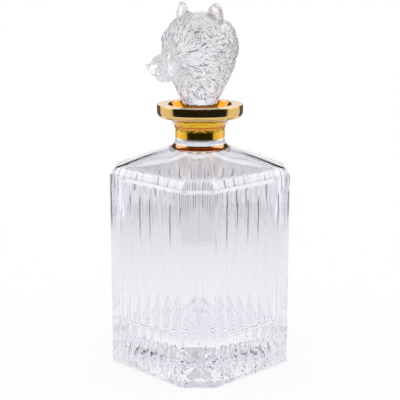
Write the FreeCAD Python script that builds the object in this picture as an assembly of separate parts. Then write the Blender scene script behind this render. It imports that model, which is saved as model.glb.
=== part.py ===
# Figural decanter: a square fluted glass bottle, a gilt collar and an animal-head stopper.
# Millimetres. +Z is up, the origin is the middle of the foot, and the head looks along -Y.
import FreeCAD, Part
import math
import os
from FreeCAD import Matrix, Vector

# Bottle: outside
body_width = 96.7         # across the flats, under the shoulder bevel
body_draft = 0.8          # how far each face leans out at the foot
corner_facet = 19.8       # width of a flat corner, under the shoulder bevel
foot_facet = 22.2         # width of a flat corner at the foot
wall_height = 127.9       # foot to the shoulder bevel
foot_bevel = 0.8
bevel_rise = 4.4          # the flat bevel round the edge of the shoulder
bevel_depth = 3.5
shoulder_rise = 12.7      # bevel to the foot of the neck
foot_ring = 8.35          # narrowest width of the ring the bottle stands on
kick_depth = 1.5          # hollow under the base
star_rays = 24            # grooves cut in the hollow
star_depth = 2.4

# Bottle: inside
wall = 7.8                # under the shoulder bevel, without the flutes
cavity_corner = 17.5      # round of the upright corners inside
roof_round = 6.0          # round edge where the inside walls turn into the roof
roof_turn = 60.0          # degrees that this edge turns through
roof_rise = 11.5          # edge to the foot of the bore
throat_round = 3.0        # round where the roof meets the bore
shoulder_thickness = 4.6
base_thickness = 27.0
floor_round = 5.0         # round edge of the inside floor

# Flutes on each of the four faces
flute_count = 7
flute_depth = 1.1
flute_land = 0.4          # narrow ridge left between two flutes
flute_margin = 0.7        # plain strip beside the corner facets, at the foot
flute_top_gap = 6.5       # bevel to the pointed tips of the flutes
flute_tip_length = 20.0
flute_toe_height = 4.0    # foot to the lower ends of the flutes
flute_toe_length = 6.0

# Neck, lip and mouth
neck_radius = 16.2
neck_wall = 3.2
neck_height = 11.0        # foot of the neck to the start of the flare
neck_foot_round = 5.5
neck_foot_angle = 75.0    # degrees that the round at the foot of the neck turns through
lip_radius = 28.1
lip_rise = 17.0           # start of the flare to the top of the lip
lip_land = 7.2            # width of the flat top of the lip
lip_round = 3.4           # round under the rim: how far out it goes
lip_round_height = 4.0

# Gilt collar
collar_wall = 0.6
band_height = 4.5         # the part that goes round the rim
liner_depth = 5.0         # how far the collar lines the straight bore
collar_edge_round = 0.3
bond_gap = 0.05           # cement between gilding and glass
ring_angle = 45.0         # degrees of the round at the foot of the neck that the gilt ring covers

# Stopper: plug, seal and cement
seal_gap = 0.3            # seal in collar, so that the stopper draws out
seal_wall = 1.4
seal_rib = 0.55
seal_ribs = 3
seal_end_gap = 0.1
running_gap = 0.05        # plug in seal
plug_overhang = 2.0       # how far the plug reaches below the collar
plug_bead = 0.7           # bead that keeps the seal on
plug_bead_height = 1.0
plug_shoulder = 0.7       # step above the seal
plug_shoulder_length = 8.5
cement_thickness = 0.2

# Stopper head
head_base_radius = 11.1
head_height = 59.0        # base to crown
head_width = 50.4
head_depth = 50.4         # brow to nape
muzzle_reach = 45.5       # axis to the tip of the nose
muzzle_width = 16.4
muzzle_level = 27.6       # base to the middle of the muzzle
eye_radius = 2.2
eye_spacing = 17.0
eye_level = 38.0          # base to the middle of the eyes
ear_spacing = 29.4
ear_width = 12.4
ear_height = 18.6
ear_thickness = 6.4
ear_drop = 3.0            # crown down to the middle of the ears
ear_lean = 9.0            # degrees, outwards
ear_turn = 12.0           # degrees, hollow sides turned outwards

# Heights and radii that follow from the sizes above
shoulder_edge = wall_height + bevel_rise
neck_foot = shoulder_edge + shoulder_rise
flare_start = neck_foot + neck_height
lip_top = flare_start + lip_rise
band_bottom = lip_top - band_height
head_base = lip_top
bore_radius = neck_radius - neck_wall
mouth_radius = lip_radius - lip_land
rebate = collar_wall + bond_gap
top_half = body_width / 2
foot_half = top_half + body_draft


def write(shape, node):
    """Checks a finished piece and writes it under its node's name."""
    if not shape.isValid() or len(shape.Solids) != 1:
        raise ValueError(node + " is not one valid solid")
    shape.exportStep("parts/" + node + ".step")
    print(node, round(shape.Volume / 1000.0, 2), "cm3")


# Turned shapes

def turned(outline):
    """Solid of revolution about Z. An item is (r, z), or an arc: r, z on its way and r, z of its end."""
    edges = []
    here = Vector(outline[0][0], 0, outline[0][1])
    for item in outline[1:] + outline[:1]:
        end = Vector(item[-2], 0, item[-1])
        if len(item) == 4:
            edges.append(Part.Arc(here, Vector(item[0], 0, item[1]), end).toShape())
        else:
            edges.append(Part.LineSegment(here, end).toShape())
        here = end
    face = Part.Face(Part.Wire(edges))
    return face.revolve(Vector(0, 0, 0), Vector(0, 0, 1), 360)


def on_circle(centre, radius, degrees):
    angle = math.radians(degrees)
    return (centre[0] + radius * math.cos(angle), centre[1] + radius * math.sin(angle))


def arc_to(centre, radius, start, end):
    """Middle and end of an arc between two angles in degrees."""
    return on_circle(centre, radius, (start + end) / 2) + on_circle(centre, radius, end)


def bend_radius(run, rise):
    """Radius of an arc that leaves the vertical smoothly and ends so far out and so far up."""
    return (run ** 2 + rise ** 2) / (2 * run)


def bend_angle(radius, run, rise):
    """Where that arc ends, seen from its centre, in degrees."""
    return math.degrees(math.atan2(rise, run - radius))


# The mouth is a funnel out of the straight bore. Glass, collar and seal keep their distance from one cone.
liner_radius = bore_radius - rebate
funnel_angle = math.atan2(mouth_radius - liner_radius, lip_rise)


def funnel_start(offset):
    """Where the bore turns into the funnel, so far outside the collar's inner face."""
    return (liner_radius + offset, flare_start - offset * math.tan(funnel_angle / 2))


def funnel_at(offset, z):
    """Point of the funnel at a height, so far outside the collar's inner face."""
    return (liner_radius + offset / math.cos(funnel_angle) + (z - flare_start) * math.tan(funnel_angle), z)


# Bottle

def octagon_corners(half, facet):
    """Corners of a square with flat corners, starting on the +X side."""
    near = half - facet / math.sqrt(2)
    corner = [(half, -near), (half, near), (near, half), (-near, half)]
    return corner + [(-x, -y) for x, y in corner]


def inset_facet(facet, inset):
    """Width of a flat corner after all eight sides move in by the same amount."""
    return facet - 2 * inset * math.tan(math.pi / 8)


def octagon(half, facet, z):
    points = [Vector(x, y, z) for x, y in octagon_corners(half, facet)]
    return Part.makePolygon(points + points[:1])


def top_octagon(inset, z):
    return octagon(top_half - inset, inset_facet(corner_facet, inset), z)


def foot_octagon(inset, z):
    return octagon(foot_half - inset, inset_facet(foot_facet, inset), z)


def ring_of_arcs(radius, corners, z):
    """A circle of eight arcs whose ends face the corners of an octagon."""
    angles = [math.atan2(y, x) for x, y in corners]
    edges = []
    for start, end in zip(angles, angles[1:] + angles[:1]):
        if end < start:
            end += 2 * math.pi
        stops = (start, (start + end) / 2, end)
        points = [Vector(radius * math.cos(a), radius * math.sin(a), z) for a in stops]
        edges.append(Part.Arc(*points).toShape())
    return Part.Wire(edges)


def ruled(*wires):
    return Part.makeLoft(list(wires), True, True)


# The round at the foot of the neck. A gilt ring fills the notch under its lower part.
foot_end = 180.0 + neck_foot_angle
foot_drop = neck_foot_round * math.sin(math.radians(neck_foot_angle))
foot_centre = (neck_radius + neck_foot_round, neck_foot + foot_drop)
foot_radius = on_circle(foot_centre, neck_foot_round, foot_end)[0]
notch_radius, notch_top = on_circle(foot_centre, neck_foot_round, foot_end - ring_angle)


def neck_outside():
    flare_run = lip_radius - lip_round - neck_radius
    flare_rise = lip_rise - band_height - lip_round_height
    flare_arc = bend_radius(flare_run, flare_rise)
    flare_centre = (neck_radius + flare_arc, flare_start)
    flare_end = bend_angle(flare_arc, flare_run, flare_rise)
    halfway = math.sqrt(0.5)
    under_rim = (lip_radius - lip_round * (1 - halfway), band_bottom - lip_round_height * halfway)
    return turned([
        (0, neck_foot),
        (notch_radius, neck_foot),
        (notch_radius, notch_top),
        arc_to(foot_centre, neck_foot_round, foot_end - ring_angle, 180.0),
        (neck_radius, flare_start),
        arc_to(flare_centre, flare_arc, 180.0, flare_end),
        (*under_rim, lip_radius, band_bottom),
        (lip_radius - rebate, band_bottom),
        (lip_radius - rebate, lip_top - rebate),
        (0, lip_top - rebate),
    ])


def bottle_outside():
    walls = ruled(
        foot_octagon(foot_bevel, 0),
        foot_octagon(0, foot_bevel),
        top_octagon(0, wall_height),
        top_octagon(bevel_depth, shoulder_edge),
    )
    corners = octagon_corners(top_half - bevel_depth, inset_facet(corner_facet, bevel_depth))
    shoulder = ruled(top_octagon(bevel_depth, shoulder_edge), ring_of_arcs(foot_radius, corners, neck_foot))
    return walls.fuse(shoulder).fuse(neck_outside()).removeSplitter()


def flute_cutters():
    """One turned cutter for each flute: a long barrel with a lancet tip and a short toe."""
    lean = math.atan2(body_draft, wall_height - foot_bevel)
    face_width = 2 * foot_half - foot_facet * math.sqrt(2)
    pitch = (face_width - 2 * flute_margin + flute_land) / flute_count
    chord = pitch - flute_land
    radius = (chord ** 2 / 4 + flute_depth ** 2) / (2 * flute_depth)
    stand_off = radius - flute_depth
    tip = wall_height - flute_top_gap
    cutter = turned([
        (0, flute_toe_height),
        (stand_off, flute_toe_height),
        (radius, flute_toe_height + flute_toe_length),
        (radius, tip - flute_tip_length),
        (stand_off, tip),
        (0, tip),
    ])
    cutter.rotate(Vector(0, 0, 0), Vector(0, 1, 0), -math.degrees(lean))
    axis_x = top_half + wall_height * math.tan(lean) + stand_off * math.cos(lean)
    axis_z = stand_off * math.sin(lean)
    cutters = []
    for face in range(4):
        for place in range(flute_count):
            one = cutter.copy()
            one.translate(Vector(axis_x, (place - (flute_count - 1) / 2) * pitch, axis_z))
            one.rotate(Vector(0, 0, 0), Vector(0, 0, 1), 90 * face)
            cutters.append(one)
    return cutters


def rounded_square(straight, corner, z):
    """A square with round corners: half the straight run of a side, and the corner radius."""
    edges = []
    half = straight + corner
    for side in range(4):
        start = Vector(half, -straight, z)
        stop = Vector(half, straight, z)
        bulge = straight + corner * math.sqrt(0.5)
        line = Part.LineSegment(start, stop).toShape()
        arc = Part.Arc(stop, Vector(bulge, bulge, z), Vector(straight, half, z)).toShape()
        for edge in (line, arc):
            edge.rotate(Vector(0, 0, 0), Vector(0, 0, 1), 90 * side)
            edges.append(edge)
    return Part.Wire(edges)


def bottle_inside():
    straight = top_half - wall - cavity_corner
    throat = bore_radius + throat_round
    bore_foot = neck_foot - shoulder_thickness
    wall_top = bore_foot - roof_rise - roof_round * math.sin(math.radians(roof_turn))
    rings = []
    for degrees in (0, 30, 60, 90):
        turn = math.radians(degrees)
        corner = cavity_corner - floor_round * (1 - math.sin(turn))
        rings.append(rounded_square(straight, corner, base_thickness + floor_round * (1 - math.cos(turn))))
    for share in (0, 1 / 3, 2 / 3, 1):
        turn = math.radians(roof_turn * share)
        corner = cavity_corner - roof_round * (1 - math.cos(turn))
        rings.append(rounded_square(straight, corner, wall_top + roof_round * math.sin(turn)))
    rings.append(ring_of_arcs(throat, octagon_corners(straight + corner, corner * math.sqrt(2)), bore_foot))
    bore = turned([
        (0, bore_foot),
        (throat, bore_foot),
        arc_to((throat, bore_foot + throat_round), throat_round, 270.0, 180.0),
        funnel_start(rebate),
        funnel_at(rebate, lip_top - rebate),
        (0, lip_top - rebate),
    ])
    return ruled(*rings).fuse(bore).removeSplitter()


def flat_face(*points):
    return Part.Face(Part.makePolygon(list(points) + [points[0]]))


def star_hollow():
    """The hollow under the base, a star of grooves with straight ridges between them."""
    radius = foot_half - foot_bevel - foot_ring
    middle = Vector(0, 0, kick_depth)
    ridges = []
    grooves = []
    for place in range(star_rays):
        ridge = 2 * math.pi * place / star_rays
        groove = ridge + math.pi / star_rays
        ridges.append(Vector(radius * math.cos(ridge), radius * math.sin(ridge), 0))
        grooves.append(Vector(radius * math.cos(groove), radius * math.sin(groove), star_depth))
    faces = [flat_face(*ridges)]
    for left, groove, right in zip(ridges, grooves, ridges[1:] + ridges[:1]):
        faces.append(flat_face(middle, left, groove))
        faces.append(flat_face(middle, groove, right))
        faces.append(flat_face(left, right, groove))
    return Part.Solid(Part.Shell(faces))


def glass_bottle():
    return bottle_outside().cut(flute_cutters()).cut(bottle_inside()).cut(star_hollow())


# Gilt collar

def gilt_collar():
    under_top = lip_top - collar_wall
    liner_bottom = flare_start - liner_depth
    round_centre = (lip_radius - collar_edge_round, lip_top - collar_edge_round)
    return turned([
        (liner_radius, liner_bottom),
        funnel_start(0),
        funnel_at(0, lip_top),
        (round_centre[0], lip_top),
        arc_to(round_centre, collar_edge_round, 90.0, 0.0),
        (lip_radius, band_bottom),
        (lip_radius - collar_wall, band_bottom),
        (lip_radius - collar_wall, under_top),
        funnel_at(collar_wall, under_top),
        funnel_start(collar_wall),
        (liner_radius + collar_wall, liner_bottom),
    ])


def neck_ring():
    """A ring with a hollow face that carries on the round at the foot of the neck."""
    inside = notch_radius + bond_gap
    top = foot_centre[1] - math.sqrt(neck_foot_round ** 2 - (foot_centre[0] - inside) ** 2)
    top_angle = math.degrees(math.atan2(top - foot_centre[1], inside - foot_centre[0])) % 360.0
    return turned([
        (inside, neck_foot),
        (foot_radius, neck_foot),
        arc_to(foot_centre, neck_foot_round, foot_end, top_angle),
    ])


# Stopper: plug, seal and cement

seal_crest = liner_radius - seal_gap
plug_radius = seal_crest - seal_rib - seal_wall - running_gap
plug_top = head_base - cement_thickness
plug_step = plug_top - plug_shoulder_length
plug_bottom = flare_start - liner_depth - plug_overhang
bead_top = plug_bottom + plug_bead_height


def stopper_plug():
    bead_radius = plug_radius + plug_bead
    bead_bevel = plug_bead_height / 2
    return turned([
        (0, plug_bottom),
        (bead_radius - bead_bevel, plug_bottom),
        (bead_radius, plug_bottom + bead_bevel),
        (bead_radius, bead_top),
        (plug_radius, bead_top),
        (plug_radius, plug_step),
        (plug_radius + plug_shoulder, plug_step),
        (plug_radius + plug_shoulder, plug_top),
        (0, plug_top),
    ])


def plug_seal():
    """A sleeve with round ribs in the straight bore and a skirt that sits in the funnel of the mouth."""
    bottom = bead_top + seal_end_gap
    top = plug_step - seal_end_gap
    inside = plug_radius + running_gap
    outside = inside + seal_wall
    seat_start = flare_start + seal_rib
    rib_pitch = (flare_start - bottom) / seal_ribs
    outline = [(inside, bottom), (outside, bottom)]
    for place in range(seal_ribs):
        middle = bottom + (place + 0.5) * rib_pitch
        outline.append((outside, middle - seal_rib))
        outline.append((seal_crest, middle, outside, middle + seal_rib))
    outline.append((outside, seat_start))
    outline.append(funnel_at(-seal_gap, seat_start))
    outline.append(funnel_at(-seal_gap, top))
    outline.append((inside, top))
    return turned(outline)


def head_bond():
    disc = Part.makeCylinder(plug_radius + plug_shoulder, cement_thickness)
    disc.translate(Vector(0, 0, plug_top))
    return disc


# Stopper head

x_axis = Vector(1, 0, 0)
y_axis = Vector(0, 1, 0)
z_axis = Vector(0, 0, 1)


def oval(centre, across, half_across, along, half_along):
    """A closed smooth curve round an oval section."""
    points = []
    count = 16
    for step in range(count):
        turn = 2 * math.pi * step / count
        points.append(centre + across * (half_across * math.cos(turn)) + along * (half_along * math.sin(turn)))
    curve = Part.BSplineCurve()
    curve.interpolate(points, PeriodicFlag=True)
    return Part.Wire([curve.toShape()])


def ellipsoid(centre, half_x, half_y, half_z):
    scale = Matrix()
    scale.scale(half_x, half_y, half_z)
    shape = Part.makeSphere(1.0).transformGeometry(scale)
    shape.translate(centre)
    return shape


def skull():
    """Neck, ruff and skull in one loft of level ovals."""
    half_width = head_width / 2
    half_depth = head_depth / 2
    throat = head_base_radius + 2.4
    levels = [  # share of the height, half width, half depth, how far forward
        (0.0, head_base_radius, head_base_radius, 0.0),
        (0.085, throat, throat, 0.0),
        (0.215, half_width * 0.67, half_depth * 0.67, 0.5),
        (0.32, half_width * 0.81, half_depth * 0.81, 0.5),
        (0.44, half_width * 0.93, half_depth * 0.92, 1.0),
        (0.59, half_width, half_depth, 1.5),
        (0.73, half_width * 0.94, half_depth * 0.98, 2.0),
        (0.84, half_width * 0.77, half_depth * 0.86, 2.5),
        (0.93, half_width * 0.52, half_depth * 0.62, 2.5),
        (1.0, half_width * 0.16, half_depth * 0.2, 2.5),
    ]
    wires = []
    for share, half_x, half_y, forward in levels:
        centre = Vector(0, -forward, head_base + share * head_height)
        wires.append(oval(centre, x_axis, half_x, y_axis, half_y))
    return Part.makeLoft(wires, True)


def muzzle_form(share, up, half_width, half_length, half_height):
    """A round form on the muzzle: place as a share of the reach, sizes as shares of half the muzzle's width."""
    unit = muzzle_width / 2
    centre = Vector(0, -share * muzzle_reach, head_base + muzzle_level + up * unit)
    return ellipsoid(centre, half_width * unit, half_length * unit, half_height * unit)


def muzzle():
    """Bridge, lips, chin, jaw and nose."""
    bridge = muzzle_form(0.64, 0.0, 1.0, 1.42, 0.88)
    lips = muzzle_form(0.82, -0.37, 0.72, 0.66, 0.48)
    chin = muzzle_form(0.67, -0.89, 0.71, 0.8, 0.53)
    jaw = muzzle_form(0.44, -0.74, 1.04, 1.1, 0.67)
    nose = muzzle_form(0.93, -0.07, 0.46, 0.39, 0.29)
    return bridge.fuse([lips, chin, jaw, nose])


def eye(side):
    centre = Vector(side * eye_spacing / 2, -head_depth * 0.46, head_base + eye_level)
    return ellipsoid(centre, eye_radius, eye_radius, eye_radius)


def ear(side):
    """A thick rounded ear, hollowed from the front, leaning and turned outwards."""
    shell = ellipsoid(Vector(0, 0, 0), ear_width / 2, ear_thickness / 2, ear_height / 2)
    front = Vector(0, -ear_thickness / 2, 0)
    one = shell.cut(ellipsoid(front, ear_width * 0.34, ear_thickness * 0.4, ear_height * 0.36))
    one.rotate(Vector(0, 0, 0), y_axis, side * ear_lean)
    one.rotate(Vector(0, 0, 0), z_axis, side * ear_turn)
    one.translate(Vector(side * ear_spacing / 2, -ear_thickness / 5, head_base + head_height - ear_drop))
    return one


def stopper_head():
    head = skull().fuse(muzzle())
    for side in (-1, 1):
        head = head.fuse(eye(side)).fuse(ear(side))
    return head


os.makedirs("parts", exist_ok=True)
write(glass_bottle(), "glass_bottle")
write(gilt_collar(), "gilt_collar")
write(neck_ring(), "neck_ring")
write(stopper_plug(), "stopper_plug")
write(plug_seal(), "plug_seal")
write(head_bond(), "head_bond")
write(stopper_head(), "stopper_head")
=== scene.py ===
import math
import random

import bmesh
import bpy
from mathutils import Matrix, Vector, kdtree, noise


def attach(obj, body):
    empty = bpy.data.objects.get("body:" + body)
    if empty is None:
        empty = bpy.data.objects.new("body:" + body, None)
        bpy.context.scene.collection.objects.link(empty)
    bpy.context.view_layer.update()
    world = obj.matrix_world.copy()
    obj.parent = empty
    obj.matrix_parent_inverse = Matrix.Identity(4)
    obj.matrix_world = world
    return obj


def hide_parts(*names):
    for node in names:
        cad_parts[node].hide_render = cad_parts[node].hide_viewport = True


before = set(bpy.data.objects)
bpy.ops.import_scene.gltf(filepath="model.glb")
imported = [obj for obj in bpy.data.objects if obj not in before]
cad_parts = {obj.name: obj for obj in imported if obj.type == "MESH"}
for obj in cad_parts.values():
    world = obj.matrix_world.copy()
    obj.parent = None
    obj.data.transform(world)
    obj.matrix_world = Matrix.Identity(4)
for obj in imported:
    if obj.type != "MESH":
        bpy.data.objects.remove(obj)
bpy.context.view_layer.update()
scene = bpy.context.scene
mm = 0.001
print("frame loaded:", ", ".join(sorted(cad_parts)))


# shapes and pieces

def arcPoints(centre, radius, start, end, count):
    points = []
    for step in range(count + 1):
        angle = math.radians(start + (end - start) * step / count)
        points.append((centre[0] + radius * math.cos(angle), centre[1] + radius * math.sin(angle)))
    return points


def smoothStep(low, high, value):
    share = min(max((value - low) / (high - low), 0.0), 1.0)
    return share * share * (3 - 2 * share)


def bendRadius(run, rise):
    return (run * run + rise * rise) / (2 * run)  # arc that leaves the vertical and ends so far out and up


def meshObject(name, bm):
    mesh = bpy.data.meshes.new(name)
    bm.to_mesh(mesh)
    bm.free()
    made = bpy.data.objects.new(name, mesh)
    scene.collection.objects.link(made)
    return made


def placePiece(name, bm, material, body, nodes, sharpAngle=32.0):
    piece = meshObject(name, bm)
    mesh = piece.data
    mesh.materials.append(material)
    mesh.shade_smooth()
    mesh.set_sharp_from_angle(angle=math.radians(sharpAngle))
    ridges = mesh.attributes.get("ridge")  # edges that stay crisp (1) or soft (-1) at any angle
    if ridges:
        for edge in mesh.edges:
            if ridges.data[edge.index].value:
                edge.use_edge_sharp = ridges.data[edge.index].value > 0
    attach(piece, body)
    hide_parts(*nodes)
    return piece


def spinOutline(outline, steps, closed):
    bm = bmesh.new()
    verts = [bm.verts.new((r * mm, 0, z * mm)) for r, z in outline]
    edges = [bm.edges.new(pair) for pair in zip(verts, verts[1:])]
    if closed:
        edges.append(bm.edges.new((verts[-1], verts[0])))
    bmesh.ops.spin(bm, geom=verts + edges, cent=(0, 0, 0), axis=(0, 0, 1), angle=math.tau,
                   steps=steps, use_merge=True, use_duplicate=False)
    bmesh.ops.remove_doubles(bm, verts=bm.verts, dist=0.002 * mm)
    bmesh.ops.recalc_face_normals(bm, faces=bm.faces)
    return bm


def smoothSkin(bm, times):
    for _ in range(times):
        bmesh.ops.smooth_vert(bm, verts=bm.verts, factor=0.5,
                              use_axis_x=True, use_axis_y=True, use_axis_z=True)
    bm.normal_update()


# shader nodes

def setInputs(tree, node, inputs):
    for name, value in inputs.items():
        if isinstance(value, bpy.types.NodeSocket):
            tree.links.new(value, node.inputs[name])
        else:
            node.inputs[name].default_value = value


def addNode(tree, kind, inputs=None, **settings):
    node = tree.nodes.new("ShaderNode" + kind)
    for name, value in settings.items():
        setattr(node, name, value)
    setInputs(tree, node, inputs or {})
    return node


def mathNode(tree, operation, first, second=0.0):
    return addNode(tree, "Math", {0: first, 1: second}, operation=operation).outputs[0]


def product(tree, first, *others):
    for value in others:
        first = mathNode(tree, "MULTIPLY", first, value)
    return first


def vectorNode(tree, operation, first, second=(0, 0, 0)):
    return addNode(tree, "VectorMath", {0: first, 1: second}, operation=operation).outputs[0]


def scaleVector(tree, vector, factor):
    return addNode(tree, "VectorMath", {0: vector, "Scale": factor}, operation="SCALE").outputs[0]


def vectorLength(tree, vector):
    return addNode(tree, "VectorMath", {0: vector}, operation="LENGTH").outputs["Value"]


def splitVector(tree, vector):
    return addNode(tree, "SeparateXYZ", {0: vector}).outputs


def noiseNode(tree, vector, scale, detail=0.0):
    return addNode(tree, "TexNoise", {"Vector": vector, "Scale": scale, "Detail": detail}).outputs


def stretchedNoise(tree, place, stretch):
    return noiseNode(tree, vectorNode(tree, "MULTIPLY", place, stretch), 1.0)["Fac"]


def mapRange(tree, value, low, high, atLow, atHigh, curve="SMOOTHSTEP"):
    inputs = {"Value": value, "From Min": low, "From Max": high, "To Min": atLow, "To Max": atHigh}
    return addNode(tree, "MapRange", inputs, interpolation_type=curve).outputs["Result"]


def fadeIn(tree, value, ends):
    return mapRange(tree, value, *ends, 0.0, 1.0)


def fadeOut(tree, value, ends):
    return mapRange(tree, value, *ends, 1.0, 0.0)


def mixValue(tree, factor, first, second):
    inputs = {"Factor": factor, "A": first, "B": second}
    return addNode(tree, "Mix", inputs, data_type="FLOAT").outputs["Result"]


def mixColour(tree, factor, first, second):
    inputs = {"Factor": factor}
    for name, colour in (("A", first), ("B", second)):
        inputs[name] = (*colour, 1) if isinstance(colour, tuple) else colour
    return addNode(tree, "Mix", inputs, data_type="RGBA").outputs["Result"]


def objectPlace(tree):
    return addNode(tree, "TexCoord").outputs["Object"]


def paintedMask(tree, name):
    return addNode(tree, "Attribute", attribute_name=name).outputs["Fac"]


def newGroup(name, inputs, outputs):
    group = bpy.data.node_groups.new(name, "ShaderNodeTree")
    for socket, kind in inputs.items():
        group.interface.new_socket(socket, in_out="INPUT", socket_type="NodeSocket" + kind)
    for socket in outputs:
        group.interface.new_socket(socket, in_out="OUTPUT", socket_type="NodeSocketFloat")
    return group, group.nodes.new("NodeGroupInput").outputs


def closeGroup(group, results):
    end = group.nodes.new("NodeGroupOutput")
    for name, value in results.items():
        group.links.new(value, end.inputs[name])
    return group


# finishes that several materials share

polishClouds = {"detail": 3.0, "span": (0.35, 0.7)}


def makePolishGroup(clouds):
    inputs = {"Vector": "Vector", "Grain": "Float", "Stretch": "Vector", "Low": "Float", "High": "Float"}
    group, given = newGroup("polishMarks", inputs, ("Roughness", "Height"))
    stretched = vectorNode(group, "MULTIPLY", given["Vector"], given["Stretch"])
    cloudy = noiseNode(group, stretched, given["Grain"], clouds["detail"])["Fac"]
    rough = mapRange(group, cloudy, *clouds["span"], given["Low"], given["High"], "LINEAR")
    return closeGroup(group, {"Roughness": rough, "Height": cloudy})


polishMarks = makePolishGroup(polishClouds)


def newMaterial(name):
    material = bpy.data.materials.new(name)
    material.use_nodes = True
    tree = material.node_tree
    return material, tree, tree.nodes["Principled BSDF"]


def addBump(tree, shader, height, strength, distance):
    bump = addNode(tree, "Bump", {"Height": height, "Strength": strength, "Distance": distance})
    tree.links.new(bump.outputs["Normal"], shader.inputs["Normal"])


def addPolish(tree, shader, look):
    inputs = {"Vector": objectPlace(tree), "Grain": look["grain"], "Stretch": look["stretch"],
              "Low": look["roughLow"], "High": look["roughHigh"]}
    polish = addNode(tree, "Group", inputs, node_tree=polishMarks).outputs
    tree.links.new(polish["Roughness"], shader.inputs["Roughness"])
    addBump(tree, shader, polish["Height"], *look["bump"])
    return polish["Height"]


def tintRamp(tree, height, first, second):
    ramp = addNode(tree, "ValToRGB", {"Fac": height})
    ramp.color_ramp.elements[0].color = (*first, 1)
    ramp.color_ramp.elements[1].color = (*second, 1)
    return ramp.outputs["Color"]


# crystal

crystalLook = {"tintA": (0.945, 0.948, 0.985), "tintB": (0.97, 0.972, 0.992), "ior": 1.53, "grain": 16.0,
               "stretch": (1, 1, 0.4), "roughLow": 0.0, "roughHigh": 0.008, "bump": (0.02, 0.0003)}
muzzleLook = dict(crystalLook, tintA=(0.985, 0.98, 0.98), tintB=(1.0, 0.995, 0.99), ior=1.06)


def crystalMaterial(name, look):
    material, tree, shader = newMaterial(name)
    tint = tintRamp(tree, addPolish(tree, shader, look), look["tintA"], look["tintB"])
    setInputs(tree, shader, {"Base Color": tint, "Transmission Weight": 1.0, "IOR": look["ior"]})
    return material


# painted shade: black lines on the arrises and hips and black specks in the base stand in for the dark that
# the cut glass shows
paintedEdgeShadeLook = {"dark": (0.0, 0.0, 0.0), "halfWidth": 1.1, "skin": 46.5, "patches": (160, 160, 14),
            "patchShow": (0.38, 0.5), "foot": (84, 102), "top": (116, 119),
            "shadeSpecks": (1100, 1100, 800), "speckShow": (0.73, 0.77), "speckTop": (22, 27)}


def addPaintedEdgeShade(material, pitch, look):
    tree = material.node_tree
    place = objectPlace(tree)
    parts = splitVector(tree, place)
    across = [mathNode(tree, "ABSOLUTE", parts[name]) for name in ("X", "Y")]
    out = mathNode(tree, "MAXIMUM", *across)
    along = mathNode(tree, "MINIMUM", *across)
    cell = mathNode(tree, "FRACT", mathNode(tree, "DIVIDE", along, pitch * mm))
    off = mathNode(tree, "ABSOLUTE", mathNode(tree, "SUBTRACT", cell, 0.5))
    line = fadeOut(tree, off, (0.0, look["halfWidth"] / pitch))  # painted shade: dark on each arris between two flutes
    onSkin = mathNode(tree, "GREATER_THAN", out, look["skin"] * mm)
    patches = fadeIn(tree, stretchedNoise(tree, place, look["patches"]), look["patchShow"])
    foot, top, speckTop = [[z * mm for z in look[key]] for key in ("foot", "top", "speckTop")]
    shade = product(tree, line, onSkin, patches,
                    fadeIn(tree, parts["Z"], foot), fadeOut(tree, parts["Z"], top))
    # painted shade along the hips of the shoulder
    shade = mathNode(tree, "MAXIMUM", shade, paintedMask(tree, "paintedHipShade"))
    shadeSpecks = fadeIn(tree, stretchedNoise(tree, place, look["shadeSpecks"]), look["speckShow"])
    shadeSpecks = product(tree, shadeSpecks, fadeOut(tree, parts["Z"], speckTop))  # painted dark specks in the thick base
    shade = mathNode(tree, "MAXIMUM", shade, shadeSpecks)
    base = tree.nodes["Principled BSDF"].inputs["Base Color"]
    tree.links.new(mixColour(tree, shade, base.links[0].from_socket, look["dark"]), base)


# the last colour is the near-black of the painted dark flecks on the fur
furLook = {"centre": (0, 0, -0.203), "rays": 17.0, "along": 400.0, "curl": 3.0, "curlGrain": 110.0,
           "line": 0.13, "breakGrain": 0.9, "breakShow": (0.42, 0.5), "bump": (1.0, 0.0004),
           "clear": (0.995, 0.99, 0.985), "carved": (0.96, 0.956, 0.988), "shadeFleck": (0.01, 0.01, 0.015)}


def makeFurGroup(look):
    inputs = {"Vector": "Vector", "Rays": "Float", "Along": "Float", "Curl": "Float",
              "Curl Grain": "Float", "Line": "Float"}
    group, given = newGroup("furStrokes", inputs, ("Height", "ShadeFleck"))
    swirl = noiseNode(group, given["Vector"], given["Curl Grain"], 1.0)["Color"]
    parts = splitVector(group, given["Vector"])
    flat = addNode(group, "CombineXYZ", {"X": parts["X"], "Z": parts["Z"]}).outputs[0]
    spoke = vectorNode(group, "NORMALIZE", flat)  # direction away from the line through the muzzle
    run = addNode(group, "CombineXYZ", {"Y": product(group, parts["Y"], given["Along"])}).outputs[0]
    place = vectorNode(group, "ADD", scaleVector(group, spoke, given["Rays"]), run)
    bent = vectorNode(group, "ADD", place, scaleVector(group, swirl, given["Curl"]))
    strokes = noiseNode(group, bent, 1.0)["Fac"]
    fold = mathNode(group, "ABSOLUTE", mathNode(group, "SUBTRACT", strokes, 0.5))
    line = mapRange(group, fold, 0.0, given["Line"], 1.0, 0.0, "LINEAR")  # thin lines along the folds, for the painted dark flecks
    kept = fadeIn(group, noiseNode(group, bent, look["breakGrain"])["Fac"], look["breakShow"])
    return closeGroup(group, {"Height": product(group, fold, 2.0), "ShadeFleck": product(group, line, kept)})


furStrokes = makeFurGroup(furLook)


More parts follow.
